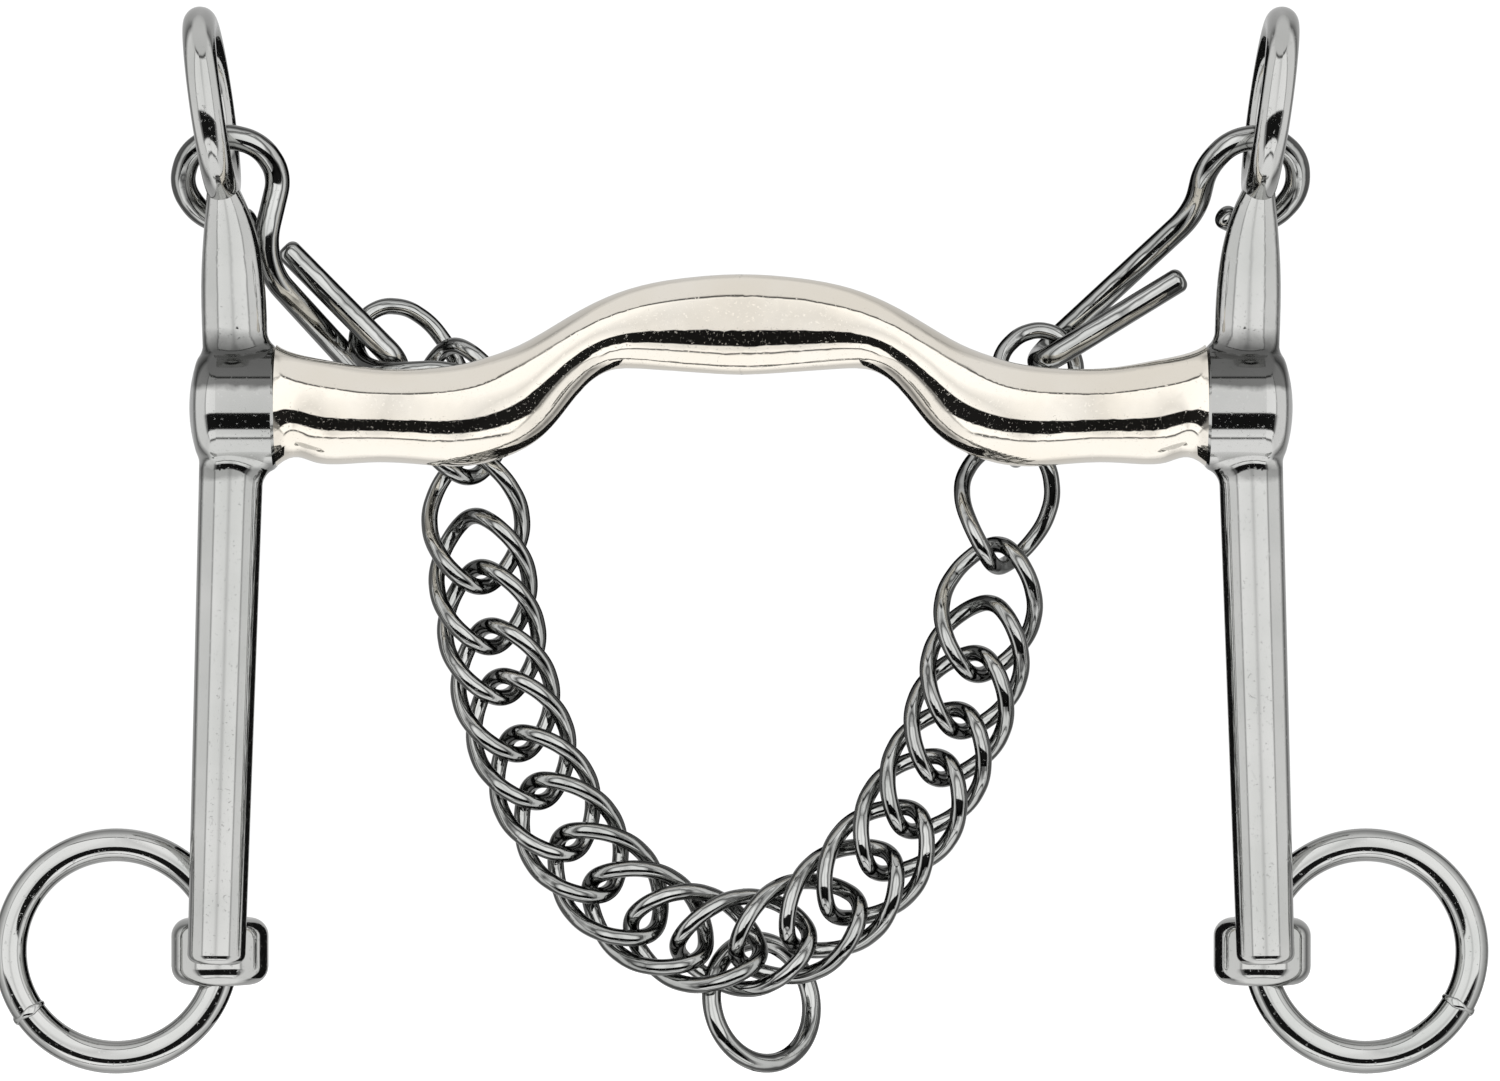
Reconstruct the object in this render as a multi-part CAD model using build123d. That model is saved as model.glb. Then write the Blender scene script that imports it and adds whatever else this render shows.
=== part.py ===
from build123d import *
from math import asin, atan2, cos, degrees, pi, radians, sin, sqrt, tan
import os

# A curb bit with fixed cheeks and a low wide port, its two curb hooks, its double-link curb chain
# and the lip-strap ring.  Millimetres.  +X runs along the mouthpiece to the right cheek, +Z up the
# cheeks to the bridle rings and +Y back towards the chin, where the chain hangs.
# The origin is the middle of the mouthpiece, level with the centres of the two cheek bosses.

# Mouthpiece
MOUTH_WIDTH = 133.0            # between the two boss faces
PORT_HALF_WIDTH = 38.0         # from the middle to where the port's leg meets the bar
END_HEIGHT = 17.4              # bar height at the boss face
END_DEPTH = 17.0               # bar depth, front to rear, at the boss face
END_RISE = 0.3                 # how far the bar's middle stands above the boss's axis there
# over the port: (distance from the middle, height of the middle, slope in degrees, half height,
# half depth), each section square to the slope
PORT_SECTIONS = [
    (0.0, 11.9, 0.0, 7.2, 5.6),
    (7.3, 11.85, -1.5, 6.8, 5.6),
    (13.3, 11.5, -6.0, 6.1, 5.7),
    (17.8, 10.75, -14.0, 5.3, 5.8),
    (21.2, 9.5, -26.0, 4.8, 6.0),
    (24.4, 7.6, -36.0, 4.8, 6.3),
    (28.2, 4.6, -38.5, 5.6, 6.7),
    (32.6, 1.3, -29.0, 6.9, 7.0),
    (PORT_HALF_WIDTH, -0.8, -11.0, 7.3, 7.2),
]
# along the bar: the same, but starting with the share of the way from the port to the boss
BAR_SECTIONS = [
    (0.27, -1.3, 0.0, 6.9, 7.0),
    (0.53, -1.1, 2.0, 6.8, 7.1),
    (0.78, -0.55, 5.0, 7.4, 7.6),
    (1.00, END_RISE, 0.0, END_HEIGHT / 2, END_DEPTH / 2),
]
TENON_DIAMETER = 8.0           # peg on the cheek that the mouthpiece is cast round
TENON_LENGTH = 11.0
TENON_CLEARANCE = 0.03

# Cheeks
BOSS_DIAMETER = END_HEIGHT + 0.4
BOSS_LENGTH = 10.6             # from the boss face to the edge of its domed outer end
BOSS_DOME = 1.9
BOSS_RIM = 3.5                 # rounding between the boss's side and its dome
BOSS_EDGE = 0.4                # the groove left between the boss face and the mouthpiece
SHANK_DIAMETER = 9.3           # where the shanks leave the boss
SHANK_FOOT_DIAMETER = 8.3
SHANK_INSET = 6.3              # from the boss face to the shank's axis
LOWER_SHANK = 79.7             # from the mouthpiece's axis to the shank's foot
LOWER_SPLAY = 2.4              # how far out the foot stands from the boss
FOOT_ROUND = 1.4
UPPER_SHANK = 31.4             # from the mouthpiece's axis to the bottom of the bridle ring
# (share of the upper shank, outward shift, diameter across, diameter front to rear)
UPPER_SECTIONS = [
    (0.00, 0.0, SHANK_DIAMETER, SHANK_DIAMETER),
    (0.49, -0.1, SHANK_DIAMETER, SHANK_DIAMETER),
    (0.64, 0.1, 8.8, 8.8),
    (0.82, 0.5, 7.3, 7.6),
    (1.00, 1.4, 4.6, 8.4),
]
SHANK_BLEND = 2.6              # fillet where the shanks meet the boss

# Bridle rings at the top of the cheeks
BRIDLE_WIRE = 4.7
BRIDLE_RING_DIAMETER = 28.6    # outside
BRIDLE_LEAN = 7.8              # degrees outward at the top

# Rein rings and their eyes
REIN_WIRE = 4.75
REIN_RING_DIAMETER = 35.4      # outside
EYE_DIAMETER = 14.0
EYE_HEIGHT = 9.6
EYE_ROUND = 0.27               # rounding of the barrel's outer edges, as a share of its height
EYE_HOLE_ROUND = 0.6           # rounding of the edges of its hole
EYE_PLAY = 0.9                 # all round the ring where it passes the eye
EYE_RISE = 1.4                 # from the shank's foot up to the eye's middle
ROD_GAP = 0.5                  # between the ring and the back of the shank

# Curb chain
LINK_WIRE = 2.4
LINK_INNER_WIDTH = 11.2
LINK_INNER_LENGTH = 16.8
LINK_CROSS_PLAY = 1.75         # gap where a link crosses its neighbour
CHAIN_GAP = 1.0                # between the back of the bar and the chain at rest
LINK_CORNERS = 16              # corners of the run that each link is bent from
# the chain's centre line from the third link on the left to the third on the right, as (x, z)
CHAIN_ROUTE = [
    (-38.5, -16.2),
    (-33.8, -42.3),
    (-21.3, -66.6),
    (-11.5, -74.9),
    (-1.2, -77.5),
    (9.4, -74.8),
    (19.0, -66.4),
    (31.0, -46.0),
    (35.8, -29.1),
]
FIRST_PITCH = 8.8              # third link to fourth
SHORT_PITCH = 7.4              # within a pair of links
LONG_PITCH = 8.5               # from one pair to the next
BOTTOM_PITCH = 7.5             # where the chain bends under the chin
PAIRS_A_SIDE = 3
BOTTOM_STEPS = 5
# the single links at the two ends: x, distance behind the chain's plane, z, then the heading
# of the length above +X, the roll about it and the pitch
LEFT_END_LINKS = [
    (-47.0, 0.13, 8.2, -28.6, 55.3, 14.6),
    (-40.6, 0.0, -0.35, -82.0, 0.0, 0.0),
]
RIGHT_END_LINKS = [
    (38.4, 1.57, -13.4, 80.5, -14.45, -10.0),
    (42.22, 2.54, 2.01, 76.36, -41.75, 1.46),
]
# the links round the lip-strap ring lie a little off the route to make room for it: the number of
# the link, then how far behind the plane, how far along its own length, the roll and the pitch
EASED_LINKS = {
    12: (-0.77, 0.10, 6.80, 2.13),
    13: (-0.09, -0.45, -3.66, 3.92),
    14: (-0.49, 0.17, 0.16, -2.52),
    15: (-0.07, 0.29, 0.02, -0.47),
}

# Curb hooks
HOOK_WIRE = 3.6
HOOK_LOOP_PLAY = 2.6           # between the bridle ring and the inside of the hook's loop
HOOK_SEAT = 28.0               # degrees behind the ring's lowest point where the loop hangs
HOOK_LOOP_CORNERS = 8
HOOK_END_ROUND = 1.2
LOOP_SHIFT = 0.8               # how far the loops hang inward of the ring's wire
# each hook: yaw of its loop, where round the loop its free end stops, the neck and the tip
# measured from the loop's centre, and the two corners of the bend measured from the end link
LEFT_YAW = 5.0
LEFT_START = 113.0
LEFT_NECK = (-4.24, -0.57, -11.89)
LEFT_BEND = [(7.27, 8.11, -4.25), (0.91, -0.68, -3.20)]
LEFT_TIP = (-7.4, 4.86, -9.39)
RIGHT_YAW = 12.0
RIGHT_START = 125.0
RIGHT_NECK = (-8.0, 2.89, -4.49)
RIGHT_BEND = [(1.6, 4.99, 6.13), (0.8, -3.86, 4.19)]
RIGHT_TIP = (-9.5, 4.39, -13.79)

# Lip-strap ring
FLY_WIRE = 2.8
FLY_RING_DIAMETER = 20.8       # outside
FLY_PLACE = (3.0, 4.2, -86.26, 35.86, -14.44)  # x, behind the chain's plane, z, yaw and tilt


def circle_torus(outside, wire):
    """A round-wire ring of the given outside diameter, its axis along Z."""
    return Torus((outside - wire) / 2, wire / 2)


def bend_radii(points, share=0.9):
    """The radius of each corner that uses up `share` of the shorter half-run beside it."""
    radii = []
    for i in range(1, len(points) - 1):
        before = Vector(*points[i]) - Vector(*points[i - 1])
        after = Vector(*points[i + 1]) - Vector(*points[i])
        first = before.length if i == 1 else before.length / 2
        last = after.length if i == len(points) - 2 else after.length / 2
        half_turn = radians(before.get_angle(after)) / 2
        radii.append(share * min(first, last) / tan(half_turn))
    return radii


def bent_wire(points, diameter):
    """Round wire along straight runs joined by tangent arcs."""
    path = FilletPolyline(*points, radius=bend_radii(points))
    return sweep(Plane(origin=path @ 0, z_dir=path % 0) * Circle(diameter / 2), path=path)


def mirrored(shape):
    """The same shape on the left side."""
    return mirror(shape, about=Plane.YZ)


# Mouthpiece ---------------------------------------------------------------------------------

def mouthpiece():
    """The bar and its port, one lofted body with a blind bore at each end for the cheeks' pegs."""
    bar = MOUTH_WIDTH / 2 - PORT_HALF_WIDTH
    right = list(PORT_SECTIONS)
    for share, *shape in BAR_SECTIONS:
        right.append((PORT_HALF_WIDTH + share * bar, *shape))
    left = [(-x, height, -slope, *halves) for x, height, slope, *halves in right[:0:-1]]
    sections = []
    for x, height, slope, half_height, half_depth in left + right:
        run = (cos(radians(slope)), 0, sin(radians(slope)))
        plane = Plane(origin=(x, 0, height), x_dir=(0, 1, 0), z_dir=run)
        sections.append(plane * Ellipse(half_depth, half_height))
    body = loft(sections)
    bore = Cylinder(TENON_DIAMETER / 2 + TENON_CLEARANCE, 2 * (TENON_LENGTH + TENON_CLEARANCE))
    for side in (-1, 1):
        body -= Plane(origin=(side * MOUTH_WIDTH / 2, 0, 0), z_dir=(1, 0, 0)) * bore
    return body


# Cheeks -------------------------------------------------------------------------------------

SHANK_X = MOUTH_WIDTH / 2 + SHANK_INSET
FOOT_X = SHANK_X + LOWER_SPLAY
EYE_Y = SHANK_FOOT_DIAMETER / 2 + ROD_GAP + REIN_WIRE / 2
EYE_Z = -LOWER_SHANK + EYE_RISE
RING_RADIUS = (BRIDLE_RING_DIAMETER - BRIDLE_WIRE) / 2
RING_FOOT_X = SHANK_X + UPPER_SECTIONS[-1][1]
RING_UP = Vector(sin(radians(BRIDLE_LEAN)), 0, cos(radians(BRIDLE_LEAN)))
RING_CENTRE = Vector(RING_FOOT_X, 0, UPPER_SHANK) + RING_UP * RING_RADIUS
REIN_RADIUS = (REIN_RING_DIAMETER - REIN_WIRE) / 2
# how far the ring's wire bows out of line between the two ends of the eye
EYE_SAGITTA = REIN_RADIUS - sqrt(REIN_RADIUS ** 2 - (EYE_HEIGHT / 2) ** 2)
EYE_HOLE = REIN_WIRE + EYE_SAGITTA + 2 * EYE_PLAY


def boss():
    """The round end of the cheek, with its shallow dome."""
    r = BOSS_DIAMETER / 2
    dome_radius = (r ** 2 + BOSS_DOME ** 2) / (2 * BOSS_DOME)
    half = asin(r / dome_radius) / 2
    start = MOUTH_WIDTH / 2
    rim = start + BOSS_LENGTH
    middle = rim + BOSS_DOME - dome_radius + dome_radius * cos(half)
    outline = [
        Line((start, 0), (start, r)),
        Line((start, r), (rim, r)),
        ThreePointArc((rim, r), (middle, dome_radius * sin(half)), (rim + BOSS_DOME, 0)),
        Line((rim + BOSS_DOME, 0), (start, 0)),
    ]
    solid = revolve(make_face(outline), axis=Axis.X)
    solid = fillet(solid.edges().filter_by_position(Axis.X, rim - 0.01, rim + 0.01), BOSS_RIM)
    return chamfer(solid.edges().filter_by_position(Axis.X, start - 0.01, start + 0.01), BOSS_EDGE)


def peg():
    """The peg inside the mouthpiece that the cheek is fixed by."""
    pin = Cylinder(TENON_DIAMETER / 2, TENON_LENGTH, align=(Align.CENTER, Align.CENTER, Align.MAX))
    return Plane(origin=(MOUTH_WIDTH / 2, 0, 0), z_dir=(1, 0, 0)) * pin


def lower_shank():
    """The tapered rod down to the eye, its foot rounded."""
    top = Vector(SHANK_X, 0, 0)
    foot = Vector(FOOT_X, 0, -LOWER_SHANK)
    rod = Cone(
        SHANK_DIAMETER / 2,
        SHANK_FOOT_DIAMETER / 2,
        (foot - top).length,
        align=(Align.CENTER, Align.CENTER, Align.MIN),
    )
    rod = fillet(rod.edges().sort_by(Axis.Z)[-1], FOOT_ROUND)
    return Plane(origin=top, z_dir=foot - top) * rod


def upper_shank():
    """The rod up to the bridle ring, flattened where it runs into the ring."""
    sections = []
    for share, shift, across, front_rear in UPPER_SECTIONS:
        plane = Plane(origin=(SHANK_X + shift, 0, share * UPPER_SHANK))
        sections.append(plane * Ellipse(across / 2, front_rear / 2))
    return loft(sections)


def eye():
    """The barrel at the shank's foot that the rein ring runs through."""
    barrel = Cylinder(EYE_DIAMETER / 2, EYE_HEIGHT)
    return Plane(origin=(FOOT_X, EYE_Y, EYE_Z)) * fillet(barrel.edges(), EYE_ROUND * EYE_HEIGHT)


def eye_hole():
    """The hole through the eye, with rounded edges."""
    r = EYE_HOLE / 2
    half = EYE_HEIGHT / 2
    outline = [
        Line((0, 0), (r, 0)),
        Line((r, 0), (r, half - EYE_HOLE_ROUND)),
        RadiusArc((r, half - EYE_HOLE_ROUND), (r + EYE_HOLE_ROUND, half), EYE_HOLE_ROUND),
        Line((r + EYE_HOLE_ROUND, half), (r + EYE_HOLE_ROUND, EYE_HEIGHT)),
        Line((r + EYE_HOLE_ROUND, EYE_HEIGHT), (0, EYE_HEIGHT)),
        Line((0, EYE_HEIGHT), (0, 0)),
    ]
    upper = revolve(Plane.XZ * make_face(outline), axis=Axis.Z)
    return Plane(origin=(FOOT_X, EYE_Y, EYE_Z)) * (upper + mirror(upper, about=Plane.XY))


def blended_shanks():
    """The boss and the two shanks, with a fillet all round where they meet."""
    parts = [boss(), lower_shank(), upper_shank()]
    own_edges = [edge.center() for part in parts for edge in part.edges()]
    body = parts[0] + parts[1] + parts[2]
    meeting = [edge for edge in body.edges() if min((edge.center() - own).length for own in own_edges) > 0.05]
    return fillet(meeting, SHANK_BLEND)


def right_cheek():
    """The whole right cheek as one forging: boss, shanks, bridle ring and rein eye."""
    ring = Plane(origin=RING_CENTRE, x_dir=(0, 1, 0), z_dir=RING_UP.cross(Vector(0, 1, 0)))
    body = blended_shanks() + peg() + eye()
    body += ring * circle_torus(BRIDLE_RING_DIAMETER, BRIDLE_WIRE)
    return body - eye_hole()


def right_rein_ring():
    """The rein ring, resting out to the side with its wire through the eye."""
    centre = (FOOT_X - EYE_SAGITTA / 2 + REIN_RADIUS, EYE_Y, EYE_Z)
    return Plane(origin=centre, z_dir=(0, 1, 0)) * circle_torus(REIN_RING_DIAMETER, REIN_WIRE)


# Curb chain ---------------------------------------------------------------------------------

HALF_WIDTH = (LINK_INNER_WIDTH + LINK_WIRE) / 2
HALF_LENGTH = (LINK_INNER_LENGTH + LINK_WIRE) / 2


def link_twist():
    """The twist, end to end, that lets each link pass its neighbour with the chosen play."""
    length = 2 * HALF_LENGTH
    height = 2 * HALF_WIDTH * sqrt(1 - (BOTTOM_PITCH / length) ** 2)
    return 2 * length / BOTTOM_PITCH * asin((LINK_WIRE + LINK_CROSS_PLAY) / height)


def link_point(turn, twist, grow=1.0):
    """A point of a link's centre line, `turn` radians round from the middle of one side."""
    roll = twist / 2 * sin(turn)
    across = grow * HALF_WIDTH * cos(turn)
    return (grow * HALF_LENGTH * sin(turn), across * cos(roll), -across * sin(roll))


def curb_link():
    """One twisted link lying along X, bent from two equal halves of round wire."""
    twist = link_twist()
    step = 2 * pi / LINK_CORNERS
    grow = 1 / cos(step / 2)
    corners = []
    for k in range(-1, LINK_CORNERS // 2 + 1):
        corners.append(Vector(*link_point((k + 0.5) * step, twist, grow)))
    corners[0] = (corners[0] + corners[1]) / 2
    corners[-1] = (corners[-2] + corners[-1]) / 2
    half = bent_wire([tuple(c) for c in corners], LINK_WIRE)
    return half + Rot(0, 0, 180) * half


def chain_depth():
    """How far behind the mouthpiece's centre the chain hangs: resting on the back of the bar."""
    twist = link_twist()
    reach = max(abs(link_point(k * pi / 60, twist)[2]) for k in range(30))
    return PORT_SECTIONS[-1][-1] + CHAIN_GAP + reach + LINK_WIRE / 2


def chain_pitches():
    sides = [SHORT_PITCH, LONG_PITCH] * PAIRS_A_SIDE
    return [FIRST_PITCH] + sides + [BOTTOM_PITCH] * BOTTOM_STEPS + sides


def link_places():
    """The place of every link, left to right, as (centre, heading, roll, pitch)."""
    depth = chain_depth()
    places = []
    for x, behind, z, heading, roll, pitch in LEFT_END_LINKS:
        places.append(((x, depth + behind, z), heading, roll, pitch))
    route = Spline(*[(x, depth, z) for x, z in CHAIN_ROUTE])
    pitches = chain_pitches()
    scale = route.length / sum(pitches)
    for k in range(len(pitches) + 1):
        # the ends are worked out as lengths, so a link sits at each end of the route
        along = min(scale * sum(pitches[:k]), route.length)
        centre = route.position_at(along, position_mode=PositionMode.LENGTH)
        run = route.tangent_at(along, position_mode=PositionMode.LENGTH)
        behind, ahead, roll, pitch = EASED_LINKS.get(len(places) + 1, (0, 0, 0, 0))
        centre += run * ahead + Vector(0, behind, 0)
        places.append((tuple(centre), degrees(atan2(run.Z, run.X)), roll, pitch))
    for x, behind, z, heading, roll, pitch in RIGHT_END_LINKS:
        places.append(((x, depth + behind, z), heading, roll, pitch))
    return places


def placed_link(link, centre, heading, roll, pitch):
    """A link at its centre, its length along `heading` degrees above +X, rolled and pitched."""
    run = (cos(radians(heading)), 0, sin(radians(heading)))
    return Plane(origin=centre, x_dir=run, z_dir=(0, -1, 0)) * Rot(0, -pitch, 0) * Rot(-roll, 0, 0) * link


# Curb hooks ---------------------------------------------------------------------------------

def loop_frame(side):
    """The loop's centre and its outward, downward and rearward directions, by the bridle ring."""
    seat = radians(HOOK_SEAT)
    up = Vector(side * RING_UP.X, 0, RING_UP.Z)
    outward = Vector(side * RING_UP.Z, 0, -RING_UP.X)
    rear = Vector(0, 1, 0)
    down = rear * sin(seat) - up * cos(seat)
    along = up * sin(seat) + rear * cos(seat)
    centre = Vector(side * RING_CENTRE.X, 0, RING_CENTRE.Z) + down * RING_RADIUS
    return centre - outward * LOOP_SHIFT, outward, down, along


def curb_hook(side, end_link, yaw, start, neck, bend, tip):
    """A hook: a loop round the bridle ring, a straight shaft, a bend and a free arm.

    `neck` and `tip` are measured from the loop's centre, side to side, rearward and up; `bend`
    holds two points measured from `end_link`, the centre of the link that hangs in it."""
    centre, outward, down, along = loop_frame(side)
    swung = outward * cos(radians(yaw)) + along * sin(radians(yaw))
    radius = BRIDLE_WIRE / 2 + HOOK_LOOP_PLAY + HOOK_WIRE / 2
    step = 360 / HOOK_LOOP_CORNERS
    corner = radius / cos(radians(step / 2))
    turn = radians(start)
    points = [centre + (swung * cos(turn) + down * sin(turn)) * radius]
    for k in range(HOOK_LOOP_CORNERS - 1):
        turn = radians(start - step * (k + 0.5))
        if turn > -pi:
            points.append(centre + (swung * cos(turn) + down * sin(turn)) * corner)
    points.append(centre + Vector(side * neck[0], neck[1], neck[2]))
    for out, behind, up in bend:
        points.append(Vector(end_link[0] + side * out, end_link[1] + behind, end_link[2] + up))
    points.append(centre + Vector(side * tip[0], tip[1], tip[2]))
    wire = bent_wire([tuple(p) for p in points], HOOK_WIRE)
    ends = [face.edges() for face in wire.faces().filter_by(GeomType.PLANE)]
    return fillet([edge for edges in ends for edge in edges], HOOK_END_ROUND)


# Lip-strap ring -----------------------------------------------------------------------------

def lip_strap_ring():
    """The small ring that hangs on the middle of the chain."""
    x, behind, z, yaw, tilt = FLY_PLACE
    ring = Rot(90, 0, 0) * circle_torus(FLY_RING_DIAMETER, FLY_WIRE)
    return Pos(x, chain_depth() + behind, z) * Rot(tilt, 0, 0) * Rot(0, 0, yaw) * ring


def main():
    places = link_places()
    first = places[0][0]
    last = places[-1][0]
    cheek = right_cheek()
    rein_ring = right_rein_ring()
    nodes = {
        "mouthpiece": mouthpiece(),
        "left_cheek": mirrored(cheek),
        "right_cheek": cheek,
        "left_rein_ring": mirrored(rein_ring),
        "right_rein_ring": rein_ring,
        "left_curb_hook": curb_hook(-1, first, LEFT_YAW, LEFT_START, LEFT_NECK, LEFT_BEND, LEFT_TIP),
        "right_curb_hook": curb_hook(1, last, RIGHT_YAW, RIGHT_START, RIGHT_NECK, RIGHT_BEND, RIGHT_TIP),
        "lip_strap_ring": lip_strap_ring(),
    }
    link = curb_link()
    for number, place in enumerate(places, 1):
        nodes[f"curb_link_{number:02d}"] = placed_link(link, *place)
    os.makedirs("parts", exist_ok=True)
    for name, shape in nodes.items():
        export_step(shape, f"parts/{name}.step")


main()
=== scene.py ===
# %% [markdown]
# # A curb bit, finished round its CAD frame
# The bit is a pale gold mouthpiece between two polished steel cheeks, with rein rings, hooks and a curb chain.
# The CAD model already holds every size and place, so this lesson adds only looks: metals, light and the
# small marks that the making of each piece leaves on it.

# %% Load the frame
import math

import bpy
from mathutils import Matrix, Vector


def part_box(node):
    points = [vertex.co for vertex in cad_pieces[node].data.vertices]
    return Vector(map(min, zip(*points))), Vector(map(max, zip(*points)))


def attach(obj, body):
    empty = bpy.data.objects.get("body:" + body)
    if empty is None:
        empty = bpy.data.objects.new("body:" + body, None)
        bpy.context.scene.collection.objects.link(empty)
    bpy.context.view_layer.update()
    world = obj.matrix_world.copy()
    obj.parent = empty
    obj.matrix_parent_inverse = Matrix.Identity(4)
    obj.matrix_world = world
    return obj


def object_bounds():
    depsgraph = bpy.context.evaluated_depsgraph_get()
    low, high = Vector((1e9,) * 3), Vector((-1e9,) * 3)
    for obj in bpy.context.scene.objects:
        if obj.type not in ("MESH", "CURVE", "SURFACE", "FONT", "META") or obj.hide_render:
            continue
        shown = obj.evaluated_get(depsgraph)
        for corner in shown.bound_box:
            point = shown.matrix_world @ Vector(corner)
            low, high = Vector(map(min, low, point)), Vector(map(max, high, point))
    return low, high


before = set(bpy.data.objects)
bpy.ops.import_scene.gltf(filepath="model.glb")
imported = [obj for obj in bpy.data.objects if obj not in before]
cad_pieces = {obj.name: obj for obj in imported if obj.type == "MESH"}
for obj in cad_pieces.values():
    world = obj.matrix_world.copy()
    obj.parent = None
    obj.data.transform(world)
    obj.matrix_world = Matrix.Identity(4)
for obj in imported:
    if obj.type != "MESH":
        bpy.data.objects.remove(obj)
cad_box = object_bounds()
print("CAD pieces:", len(cad_pieces))

# %% [markdown]
# ## Camera
# From close by, the near side of each ring would look larger than its far side.  An orthographic camera would
# take all depth away.  A long lens about a metre away lies between the two: it keeps both cheeks upright and
# hardly bends the outline.

# %% Camera
VIEW_WIDTH = 0.21495
CAMERA_DISTANCE = 1.0
CAMERA_PLACE = (0.00129, -CAMERA_DISTANCE, -0.01906)
SENSOR_WIDTH = 36
NEAREST_SEEN = 0.01
bpy.ops.object.camera_add(location=CAMERA_PLACE, rotation=(math.pi / 2, 0, 0))
camera = bpy.context.object
camera.data.sensor_width = SENSOR_WIDTH
camera.data.lens = SENSOR_WIDTH * CAMERA_DISTANCE / VIEW_WIDTH
camera.data.clip_start = NEAREST_SEEN
bpy.context.scene.camera = camera
bpy.context.scene.view_settings.view_transform = "Standard"
print("camera lens:", round(camera.data.lens, 1), "mm")

# %% [markdown]
# ## Studio
# Polished metal has hardly any colour of its own: it shows the room.  The room could be lamps and white sheets
# round the bit, but each of them would need its own place and power.  Here it is drawn straight into the world
# as bands of light and dark by height, the way softboxes and the gaps between them lie round a product table.


# %% Flat bands by height
BAND_EDGE = 0.006


def bands(edges):
    """Ramp stops for flat bands, each given as (angle where it ends, brightness), from below to above."""
    stops = []
    start = 0.0
    for end, brightness in edges:
        place = (math.sin(math.radians(end)) + 1) / 2
        stops.append((start + BAND_EDGE if stops else 0.0, brightness))
        stops.append((place - BAND_EDGE, brightness))
        start = place
    return stops


FRONT_BANDS = [(-62, 0.86), (-58, 0.05), (-42, 1.0), (-11, 0.01), (54, 1.0), (58, 0.05), (90, 0.62)]
FRONT_HEIGHTS = bands(FRONT_BANDS)
print("bands in front of the bit:", len(FRONT_BANDS))

# %% [markdown]
# Behind the bit the room has no dark panels, only a dimmer floor and ceiling.  The walls also differ round the
# room, and each list below runs from behind the bit, by its left, its front and its right, to behind again.

# %% Brightness round the room
BACK_HEIGHTS = [(0.00, 0.86), (0.06, 0.86), (0.16, 1.0), (0.86, 1.0), (0.94, 0.62), (1.00, 0.62)]
# how much of the front bands shows: the panels stand in front of the bit only
IN_FRONT = [(0.31, 0.0), (0.37, 1.0), (0.63, 1.0), (0.69, 0.0)]
AROUND = [
    (0.00, 0.50), (0.10, 0.40), (0.15, 0.14), (0.20, 0.75), (0.33, 0.74), (0.345, 0.34), (0.36, 0.94),
    (0.47, 0.88), (0.50, 0.66), (0.53, 0.90), (0.64, 0.94), (0.655, 0.34), (0.67, 0.74),
    (0.80, 0.75), (0.85, 0.14), (0.90, 0.40), (1.00, 0.50),
]
# by height: the walls take the brightness of AROUND, the floor and the ceiling don't
WALL_HEIGHTS = [(0.04, 0.0), (0.12, 1.0), (0.88, 1.0), (0.94, 0.0)]
print("stops round the room:", len(AROUND))

# %% [markdown]
# The room and the metals are both drawn with nodes, and the same few steps come back in each: rescale a value,
# turn it into a colour with a ramp, mix two colours.  So each step is a small helper that makes one node and
# hands back its output.


# %% Node helpers
def feed(tree, socket, value):
    """Sets a socket to a number, or links an output to it."""
    if isinstance(value, (int, float)):
        socket.default_value = value
    else:
        tree.links.new(value, socket)


def worked_out(tree, operation, *values):
    """The result of a Math node; each value is a number or an output."""
    node = tree.nodes.new("ShaderNodeMath")
    node.operation = operation
    for socket, value in zip(node.inputs, values):
        feed(tree, socket, value)
    return node.outputs[0]


def rescaled(tree, value, low=0, high=1, new_low=0, new_high=1):
    """An output moved from the range low to high into the range new_low to new_high."""
    node = tree.nodes.new("ShaderNodeMapRange")
    ends = {"From Min": low, "From Max": high, "To Min": new_low, "To Max": new_high}
    for name, end in ends.items():
        node.inputs[name].default_value = end
    feed(tree, node.inputs["Value"], value)
    return node.outputs[0]


# %% Colour helpers
def ramped(tree, value, stops, smooth=False):
    """The colour that a ramp gives for an output; a stop is (place, grey) or (place, (red, green, blue))."""
    node = tree.nodes.new("ShaderNodeValToRGB")
    node.color_ramp.interpolation = "EASE" if smooth else "LINEAR"
    elements = node.color_ramp.elements
    elements.remove(elements[1])
    for number, (place, grey) in enumerate(stops):
        element = elements[0] if number == 0 else elements.new(place)
        element.position = place
        colour = grey if isinstance(grey, tuple) else (grey, grey, grey)
        element.color = (*colour, 1)
    feed(tree, node.inputs[0], value)
    return node.outputs["Color"]


def mixed(tree, kind, factor, first, second):
    """A colour mix of two outputs; factor is a number or an output."""
    mix = tree.nodes.new("ShaderNodeMix")
    mix.data_type = "RGBA"
    mix.blend_type = kind
    feed(tree, mix.inputs["Factor"], factor)
    feed(tree, mix.inputs["A"], first)
    feed(tree, mix.inputs["B"], second)
    return mix.outputs["Result"]


# %% [markdown]
# The world's Generated coordinate is the direction of a ray.  Its Z gives the height that the ray points at,
# and its X and Y give how far it is turned, with the middle of the range towards the front.

# %% Height and turn of a direction
world = bpy.data.worlds.new("studio")
bpy.context.scene.world = world
world.use_nodes = True
room = world.node_tree
room.nodes.clear()
direction = room.nodes.new("ShaderNodeTexCoord")
parts = room.nodes.new("ShaderNodeSeparateXYZ")
feed(room, parts.inputs[0], direction.outputs["Generated"])
height = rescaled(room, parts.outputs["Z"], low=-1)
forward = worked_out(room, "MULTIPLY", parts.outputs["Y"], -1)
turned = worked_out(room, "ARCTAN2", parts.outputs["X"], forward)
around = rescaled(room, turned, low=-math.pi, high=math.pi)

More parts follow.
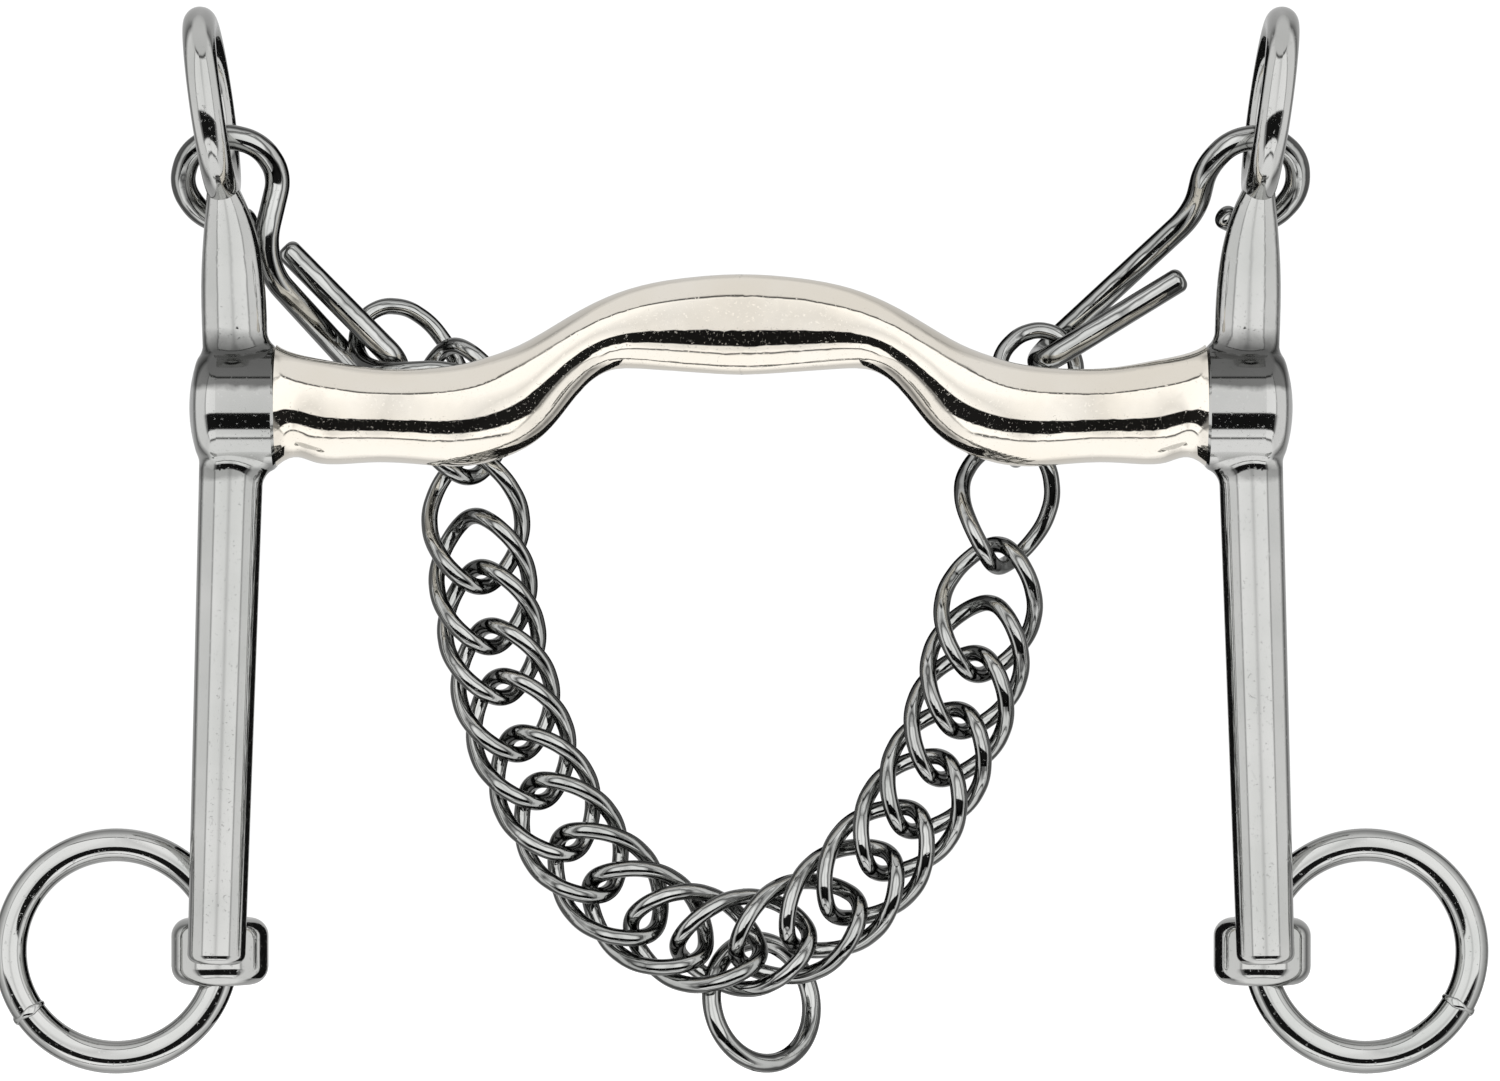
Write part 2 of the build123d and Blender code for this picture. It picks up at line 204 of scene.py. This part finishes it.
# %% Brightness of a direction
front = ramped(room, height, FRONT_HEIGHTS)
behind = ramped(room, height, BACK_HEIGHTS, smooth=True)
walls = mixed(room, "MIX", ramped(room, around, IN_FRONT), behind, front)
wall_share = ramped(room, height, WALL_HEIGHTS)
brightness = mixed(room, "MULTIPLY", wall_share, walls, ramped(room, around, AROUND))
print("nodes in the room:", len(room.nodes))

# %% [markdown]
# The bands are for the metal only.  What the camera sees behind the bit is plain white, so the world asks what
# kind of ray is looking, and shows the camera the plain light.

# %% Room light
ROOM_STRENGTH = 1.27
PLAIN_STRENGTH = 1.05
room_light = room.nodes.new("ShaderNodeBackground")
room_light.inputs["Strength"].default_value = ROOM_STRENGTH
feed(room, room_light.inputs["Color"], brightness)
plain_light = room.nodes.new("ShaderNodeBackground")
plain_light.inputs["Color"].default_value = (1, 1, 1, 1)
plain_light.inputs["Strength"].default_value = PLAIN_STRENGTH
ray = room.nodes.new("ShaderNodeLightPath")
choice = room.nodes.new("ShaderNodeMixShader")
feed(room, choice.inputs["Fac"], ray.outputs["Is Camera Ray"])
feed(room, choice.inputs[1], room_light.outputs[0])
feed(room, choice.inputs[2], plain_light.outputs[0])
world_output = room.nodes.new("ShaderNodeOutputWorld")
feed(room, world_output.inputs["Surface"], choice.outputs[0])
print("room light:", ROOM_STRENGTH, "and seen by the camera:", PLAIN_STRENGTH)

# %% [markdown]
# ## Floor
# The floor is plain and pale, and far enough below the hanging bit to take only a faint shadow.  It glows a
# little, so that it stays as pale as the background, and the metals don't mirror it: the room's own lower bands
# show there instead.


# %% Naming helper
def named(name):
    """Names the object that an operator has just made, and its mesh."""
    obj = bpy.context.object
    obj.name = name
    obj.data.name = name
    return obj


# %% Floor
FLOOR_SIZE = 12
FLOOR_DROP = 0.35
bpy.ops.object.select_all(action="DESELECT")
bpy.ops.mesh.primitive_plane_add(size=FLOOR_SIZE, location=(0, 0, cad_box[0][2] - FLOOR_DROP))
floor = named("floor")
floor_paint = bpy.data.materials.new("pale_floor")
floor_paint.use_nodes = True
floor_shader = floor_paint.node_tree.nodes["Principled BSDF"]
floor_shader.inputs["Base Color"].default_value = (0.9, 0.9, 0.9, 1)
floor_shader.inputs["Roughness"].default_value = 0.9
floor_shader.inputs["Emission Color"].default_value = (1, 1, 1, 1)
floor_shader.inputs["Emission Strength"].default_value = 0.55
floor.data.materials.append(floor_paint)
floor.visible_glossy = False
print("floor", FLOOR_DROP, "m below the bit")

# %% [markdown]
# ## Black card
# Two shiny uprights side by side mirror each other and the light between them, and their inner edges get lost.
# A studio cures that with a black card set edge-on behind the middle: it puts a dark line down the inner edge of
# each cheek.  The camera itself doesn't see the card.

# %% Black card
CARD_NEAR = 0.034
CARD_DEPTH = 0.13
CARD_HEIGHT = 0.26
CARD_MIDDLE = -0.03
bpy.ops.object.select_all(action="DESELECT")
bpy.ops.mesh.primitive_plane_add(
    size=1,
    location=(0, CARD_NEAR + CARD_DEPTH / 2, CARD_MIDDLE),
    rotation=(0, math.pi / 2, 0),
)
card = named("black_card")
card.scale = (CARD_HEIGHT, CARD_DEPTH, 1)
card.visible_camera = False
card_paint = bpy.data.materials.new("card_black")
card_paint.use_nodes = True
card_shader = card_paint.node_tree.nodes["Principled BSDF"]
card_shader.inputs["Base Color"].default_value = (0.01, 0.01, 0.01, 1)
card_shader.inputs["Roughness"].default_value = 1
card_shader.inputs["Specular IOR Level"].default_value = 0
card.data.materials.append(card_paint)
print("black card", CARD_DEPTH, "by", CARD_HEIGHT, "m")

# %% [markdown]
# ## Metals
# Every piece is polished metal, and one flat colour would look like plastic. Three things make it metal: its tone
# drifts a little over the surface, fine pits left by the casting or the wire's scale are rougher and sunk, and
# painted shade and painted reflection stripes change its colour from where it faces the eye to its edge. All
# patterns are noise on Object coordinates, so that they sit in the metal and stay there when a piece swings; the
# painted shade and stripes follow the eye instead.


# %% Noise helper
def speckled(tree, place, scale, detail, rough=0.5):
    """A noise pattern, its scale in cycles per metre."""
    texture = tree.nodes.new("ShaderNodeTexNoise")
    texture.inputs["Scale"].default_value = scale
    texture.inputs["Detail"].default_value = detail
    texture.inputs["Roughness"].default_value = rough
    feed(tree, texture.inputs["Vector"], place)
    return texture.outputs["Fac"]


# %% [markdown]
# A polishing wheel can't get into the corners where the boss meets the shank, so the steel stays darker there.
# The same ramp also paints shade over the upper part of the boss: that band is painted shade, standing in for a
# darker part of the room mirrored there. It could be done with a mask by angle, but the corners and the band all
# lie at known heights above and below the bar, so a ramp by height does it, and a little noise keeps its edges
# from looking ruled.

# %% Painted shade on the upper boss, and corners that the wheel didn't reach
DARK_BAND_REACH = 0.015
DARK_BAND_WAVER = 0.0016
DARK_BAND_NOISE = 420
# from 15 mm below the middle of the bar to 15 mm above it
# the low dip is the darker unpolished lower corner; the dip above the bar is painted shade over the upper boss,
# running into the upper corner
BOSS_SHADE_AND_CORNER_HEIGHTS = [
    (0.0, 1.0), (0.17, 1.0), (0.20, 0.6), (0.23, 0.55), (0.26, 1.0),
    (0.60, 1.0), (0.63, 0.30), (0.80, 0.22), (0.85, 0.5), (0.90, 1.0),
]


def shade_and_corners_darkened(tree, place, colour, heights):
    """Darkens a colour by height above the bar, with the stops of `heights`: painted shade on the upper boss, and
    darker unpolished corners.
    """
    parts = tree.nodes.new("ShaderNodeSeparateXYZ")
    feed(tree, parts.inputs[0], place)
    uneven = speckled(tree, place, DARK_BAND_NOISE, 3)
    level = worked_out(tree, "MULTIPLY_ADD", uneven, DARK_BAND_WAVER, parts.outputs["Z"])
    share = rescaled(tree, level, low=-DARK_BAND_REACH, high=DARK_BAND_REACH)
    return mixed(tree, "MULTIPLY", 1, colour, ramped(tree, share, heights))


# %% [markdown]
# Next come the two halves of the recipe: a colour that drifts and carries painted shade and painted reflection
# stripes, and a surface with pits. Layer Weight gives how far the surface is turned from the eye, 0 face-on and 1
# at the edge.

# %% Colour of a polished metal, with painted shade and reflections
TONE_NOISE = 90
TONE_DARK = 0.35
TONE_LIGHT = 0.65
SHADE_NOISE = 260


def metal_colour(tree, place, tone, dark_tone, painted_light, waver):
    """Drifts between two tones, then multiplies in painted shade and painted reflection stripes from the given
    stops, which noise shifts by `waver`.
    """
    drift = speckled(tree, place, TONE_NOISE, 3)
    tones = ramped(tree, drift, [(TONE_DARK, dark_tone), (TONE_LIGHT, tone)])
    facing = tree.nodes.new("ShaderNodeLayerWeight")
    facing.inputs["Blend"].default_value = 0.5
    uneven = speckled(tree, place, SHADE_NOISE, 2)
    # painted light: the stops turn how far the surface faces the eye into painted shade and painted reflection
    # stripes
    turned = worked_out(tree, "MULTIPLY_ADD", uneven, waver, facing.outputs["Facing"])
    return mixed(tree, "MULTIPLY", 1, tones, ramped(tree, turned, painted_light))


# %% Pits of a polished metal
PIT_FLOOR = 0.30
PIT_RIM = 0.38
PIT_DULLNESS = 2.2
PIT_BUMP = 0.25


def pitted(tree, shader, place, rough, pit_scale, pit_depth):
    """Sinks fine pits into the surface, and makes their floors duller than the polish."""
    grain = speckled(tree, place, pit_scale, 4, 0.7)
    polish = ramped(tree, grain, [(PIT_FLOOR, 0.0), (PIT_RIM, 1.0)])
    roughness = rescaled(tree, polish, new_low=rough * PIT_DULLNESS, new_high=rough)
    feed(tree, shader.inputs["Roughness"], roughness)
    bump = tree.nodes.new("ShaderNodeBump")
    bump.inputs["Strength"].default_value = PIT_BUMP
    bump.inputs["Distance"].default_value = pit_depth
    feed(tree, bump.inputs["Height"], polish)
    feed(tree, shader.inputs["Normal"], bump.outputs["Normal"])


# %% Metal recipe
def polished(name, tone, dark_tone, rough, pit_scale, pit_depth, painted_light, waver=0.0, heights=None):
    """A polished metal; the scale of its pits is in cycles per metre and their depth in metres."""
    material = bpy.data.materials.new(name)
    material.use_nodes = True
    tree = material.node_tree
    shader = tree.nodes["Principled BSDF"]
    shader.inputs["Metallic"].default_value = 1
    place = tree.nodes.new("ShaderNodeTexCoord").outputs["Object"]
    # the colour carries painted shade and painted reflection stripes
    colour = metal_colour(tree, place, tone, dark_tone, painted_light, waver)
    # painted shade on the upper boss, and darker unpolished corners round it
    if heights:
        colour = shade_and_corners_darkened(tree, place, colour, heights)
    feed(tree, shader.inputs["Base Color"], colour)
    pitted(tree, shader, place, rough, pit_scale, pit_depth)
    print("made", name, "with", len(tree.nodes), "nodes")
    return material


# %% [markdown]
# The mouthpiece is a yellowish white alloy, cast and then buffed until it mirrors the room, with the finest pits
# of the four metals. Only a little painted shade darkens it towards its edge.

# %% Mouthpiece alloy
# painted edge shade: a slight darkening towards the edge, by how far the surface faces the eye
PAINTED_ALLOY_EDGE_SHADE = [(0.0, 1.0), (0.8, 1.0), (1.0, 0.92)]
ALLOY = polished(
    "pale_gold_alloy",
    tone=(0.95, 0.90, 0.815),
    dark_tone=(0.92, 0.86, 0.76),
    rough=0.045,
    pit_scale=2600,
    pit_depth=0.00003,
    painted_light=PAINTED_ALLOY_EDGE_SHADE,
)

# %% [markdown]
# The cheeks are forged steel, ground and polished by hand. They are greyer and a little duller than the
# mouthpiece, and painted shade darkens them towards their rounded edges and over the upper part of the boss; the
# unpolished corners round the boss are darker in their own right.

# %% Cheek steel
# painted edge shade: darker towards the rounded edges, by how far the surface faces the eye
PAINTED_CHEEK_EDGE_SHADE = [(0.0, 1.0), (0.45, 1.0), (0.95, 0.66)]
CHEEK_STEEL = polished(
    "cheek_steel",
    tone=(0.60, 0.60, 0.587),
    dark_tone=(0.54, 0.545, 0.53),
    rough=0.08,
    pit_scale=1800,
    pit_depth=0.00004,
    painted_light=PAINTED_CHEEK_EDGE_SHADE,
    heights=BOSS_SHADE_AND_CORNER_HEIGHTS,
)

# %% [markdown]
# A rein ring is a polished round bar. A round bar squeezes the whole room into a few millimetres, so it shows
# stripes along its length: bright, grey, bright again and dark at the edge. Here these stripes are painted
# reflection in its colour, set by how far the surface faces the eye.

# %% Rein-ring steel
# painted reflection stripes across the round bar, by how far the surface faces the eye
PAINTED_RING_REFLECTION = [(0.0, 1.0), (0.22, 1.0), (0.34, 0.62), (0.52, 0.36), (0.68, 0.85), (0.84, 0.55), (1.0, 0.34)]
RING_STEEL = polished(
    "ring_steel",
    tone=(0.66, 0.66, 0.647),
    dark_tone=(0.58, 0.59, 0.575),
    rough=0.06,
    pit_scale=1500,
    pit_depth=0.00005,
    painted_light=PAINTED_RING_REFLECTION,
    waver=0.08,
)

# %% [markdown]
# The links, the hooks and the small ring are bent from thinner wire, where the same painted reflection stripes
# are narrower and harder: one painted highlight line between painted dark ones. Hammering and wear break up the
# real reflections, so the noise shifts these painted stripes more.

# %% Chain and hook wire
# painted highlight line with painted dark stripes beside it, by how far the wire faces the eye
PAINTED_WIRE_HIGHLIGHT = [
    (0.0, 0.95), (0.14, 1.0), (0.19, 0.10), (0.25, 0.85), (0.36, 0.70),
    (0.43, 0.10), (0.60, 0.14), (0.68, 0.55), (0.78, 0.18), (1.0, 0.5),
]
WIRE_STEEL = polished(
    "wire_steel",
    tone=(0.69, 0.695, 0.68),
    dark_tone=(0.55, 0.56, 0.545),
    rough=0.06,
    pit_scale=1400,
    pit_depth=0.00004,
    painted_light=PAINTED_WIRE_HIGHLIGHT,
    waver=0.22,
)

# %% [markdown]
# ## Metals on the CAD pieces
# The CAD shapes are right as they are, so each keeps its mesh and only changes its material.  The names of the
# pieces say what each one is made of.


# %% Metals on the CAD pieces
def finish(obj, material):
    """Gives an object this one material."""
    obj.data.materials.clear()
    obj.data.materials.append(material)


for name, piece in cad_pieces.items():
    if name == "mouthpiece":
        finish(piece, ALLOY)
    elif name.endswith("cheek"):
        finish(piece, CHEEK_STEEL)
    elif name.endswith("rein_ring"):
        finish(piece, RING_STEEL)
    else:
        finish(piece, WIRE_STEEL)
print("pieces with their metal:", len(cad_pieces))

# %% [markdown]
# ## Weld ridges on the rein rings
# A rein ring is a rod bent round and welded shut, and a low ridge is left where the ends met.  It could be a line
# in the finish, but it breaks the outline of the ring, so it is modelled: a thin torus round the wire, its loops
# squeezed unevenly in edit mode so that it looks hammered flat and not turned.

# %% Sizes of a weld ridge
REIN_WIRE = 0.00475
RIDGE_HEIGHT = 0.00030
RIDGE_WIDTH = 0.00055
RIDGE_SECTIONS = 40
RIDGE_SIDES = 10
UNEVEN_WIDTH = 0.35
UNEVEN_HEIGHT = 0.25


# %% Select one section of a torus
def only(obj):
    """Makes obj the one selected and active object."""
    bpy.ops.object.select_all(action="DESELECT")
    obj.select_set(True)
    bpy.context.view_layer.objects.active = obj


def select_section(piece, section):
    """Selects the loop of a torus that lies `section` steps round its axis, and enters edit mode."""
    only(piece)
    bpy.ops.object.mode_set(mode="EDIT")
    bpy.ops.mesh.select_mode(type="VERT")
    bpy.ops.mesh.select_all(action="DESELECT")
    bpy.ops.object.mode_set(mode="OBJECT")
    for vertex in piece.data.vertices:
        steps = math.atan2(vertex.co.y, vertex.co.x) / (2 * math.pi) * RIDGE_SECTIONS
        vertex.select = round(steps) % RIDGE_SECTIONS == section
    bpy.ops.object.mode_set(mode="EDIT")


# %% Model one weld ridge
bpy.ops.object.select_all(action="DESELECT")
bpy.ops.mesh.primitive_torus_add(
    major_segments=RIDGE_SECTIONS,
    minor_segments=RIDGE_SIDES,
    major_radius=REIN_WIRE / 2,
    minor_radius=RIDGE_HEIGHT,
)
right_weld = named("right_ring_weld")
for section in range(RIDGE_SECTIONS):
    spin = 2 * math.pi * section / RIDGE_SECTIONS
    select_section(right_weld, section)
    widen = RIDGE_WIDTH / RIDGE_HEIGHT * (1 + UNEVEN_WIDTH * math.sin(3 * spin + 1))
    sink = RIDGE_HEIGHT * UNEVEN_HEIGHT * (1 + math.sin(5 * spin))
    bpy.ops.transform.resize(value=(1, 1, widen), center_override=(0, 0, 0))
    bpy.ops.transform.translate(value=(-math.cos(spin) * sink, -math.sin(spin) * sink, 0))
    bpy.ops.object.mode_set(mode="OBJECT")
print("weld ridge:", len(right_weld.data.vertices), "points")

# %% [markdown]
# Both rings have the same weld, so the ridge is copied, and each copy is turned and moved to its own ring.  The
# move is then applied, which puts the ridge's place in its mesh, as for the CAD pieces.

# %% Copy the ridge
only(right_weld)
bpy.ops.object.duplicate()
left_weld = named("left_ring_weld")
print("ridges:", right_weld.name, "and", left_weld.name)


# %% Put a ridge on its ring
def weld_on(piece, ring, slope):
    """Puts a ridge round the wire of a rein ring, `slope` degrees round from +X about the ring's middle."""
    low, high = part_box(ring)
    middle = Vector([(a + b) / 2 for a, b in zip(low, high)])
    reach = (high[0] - low[0]) / 2 - REIN_WIRE / 2
    turn = math.radians(slope)
    centre = middle + Vector((math.cos(turn), 0, math.sin(turn))) * reach
    piece.location = centre
    piece.rotation_euler = (0, -turn, 0)
    only(piece)
    bpy.ops.object.transform_apply(location=True, rotation=True, scale=True)
    bpy.ops.object.shade_smooth()
    finish(piece, RING_STEEL)
    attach(piece, ring)
    print(piece.name, "at", [round(c * 1000, 1) for c in centre], "mm")


weld_on(right_weld, "right_rein_ring", slope=-30)
weld_on(left_weld, "left_rein_ring", slope=215)
